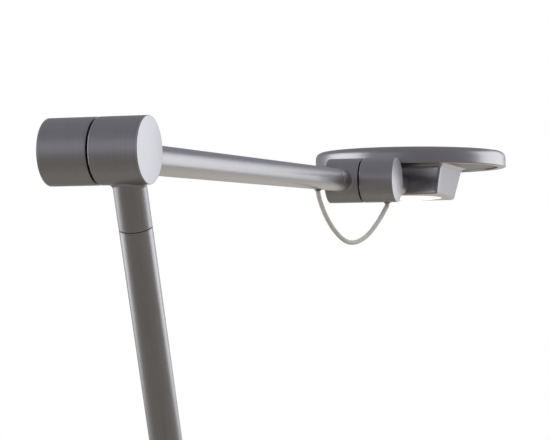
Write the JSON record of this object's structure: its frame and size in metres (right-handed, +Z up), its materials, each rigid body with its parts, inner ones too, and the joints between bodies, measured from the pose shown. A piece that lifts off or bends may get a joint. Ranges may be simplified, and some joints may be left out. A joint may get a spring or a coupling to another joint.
{
  "type": "swing arm desk lamp",
  "caption": "Desk lamp with a weighted round base, tubular swing arms on cylindrical friction knuckles, and a flat disc head with a light pod beneath it.",
  "frame": {"origin": "on the swivel axis, at the surface that the base stands on", "axes": "+Z up; +X along the hinge axes of the three knuckles; +Y from the base towards the head, the way the upper arm points"},
  "size_m": [0.216, 0.6549, 0.5482],
  "materials": {
    "satin_body": "satin anodised, fine brushed",
    "satin_tube": "satin anodised",
    "end_cap": "satin anodised",
    "pod_metal": "satin silver paint",
    "steel": "bright",
    "black_steel": "black oxide",
    "iron": "cast",
    "black_plastic": "matte",
    "white_plastic": "matte",
    "rubber": "matte",
    "board": "satin",
    "led": "gloss",
    "reflector": "polished",
    "lens": "frosted",
    "braid": "braided"
  },
  "bodies": {
    "base": {"base_cover": "satin_body", "base_weight": "iron", "base_pad": "rubber", "base_screws": "steel", "swivel_bush": "black_plastic", "inlet_gland": "rubber", "switch_body": "black_plastic"},
    "button": {"switch_button": "end_cap"},
    "stem": {"swivel_spindle": "satin_body", "swivel_washer": "steel", "swivel_spring": "steel", "swivel_nut": "steel", "base_knuckle_left": "satin_body", "base_knuckle_left_cap": "end_cap", "base_pivot_bolt": "steel", "base_friction_washer": "black_plastic", "base_disc_spring": "steel", "base_pivot_nut": "steel"},
    "lower_arm": {"base_knuckle_right": "satin_body", "base_knuckle_right_cap": "end_cap", "base_pivot_bush": "black_plastic", "lower_arm_tube": "satin_tube", "lower_arm_screws": "black_steel", "lower_arm_cable": "white_plastic", "elbow_right": "satin_body", "elbow_right_cap": "end_cap", "elbow_pivot_bush": "black_plastic"},
    "upper_arm": {"elbow_left": "satin_body", "elbow_left_cap": "end_cap", "elbow_pivot_bolt": "steel", "elbow_friction_washer": "black_plastic", "elbow_disc_spring": "steel", "elbow_pivot_nut": "steel", "upper_arm_tube": "satin_tube", "upper_arm_screws": "black_steel", "upper_arm_cable": "white_plastic", "arm_grommet": "black_plastic", "head_knuckle_left": "satin_body", "head_knuckle_left_cap": "end_cap", "head_pivot_bolt": "steel", "head_friction_washer": "black_plastic", "head_disc_spring": "steel", "head_pivot_nut": "steel", "head_cord": "braid"},
    "head": {"head_knuckle_right": "satin_body", "head_knuckle_right_cap": "end_cap", "head_pivot_bush": "black_plastic", "head_grommet": "black_plastic", "head_shell": "satin_body", "head_underplate": "pod_metal", "head_screws": "steel", "driver_board": "board", "pod_housing": "pod_metal", "heat_sink": "satin_tube", "led_board": "led", "reflector": "reflector", "lamp_lens": "lens", "lens_bezel": "pod_metal"}
  },
  "joints": [
    {"name": "base_swivel", "type": "hinge", "parent": "base", "child": "stem", "pos_m": [0, 0, 0.025], "axis": [0, 0, 1], "range_deg": [-170, 170]},
    {"name": "lower_arm_tilt", "type": "hinge", "parent": "stem", "child": "lower_arm", "pos_m": [0.0125, 0, 0.068], "axis": [1, 0, 0], "range_deg": [-30, 35]},
    {"name": "elbow_bend", "type": "hinge", "parent": "lower_arm", "child": "upper_arm", "pos_m": [0.0125, -0.16522, 0.51227], "axis": [1, 0, 0], "range_deg": [-20, 85]},
    {"name": "head_tilt", "type": "hinge", "parent": "upper_arm", "child": "head", "pos_m": [0.0125, 0.30866, 0.52261], "axis": [1, 0, 0], "range_deg": [-45, 60], "deforming": ["head_cord"]},
    {"name": "switch_press", "type": "slide", "parent": "base", "child": "button", "axis": [0, 0, -1], "range_m": [0, 0.0015], "stiffness_N_per_m": 900}
  ]
}
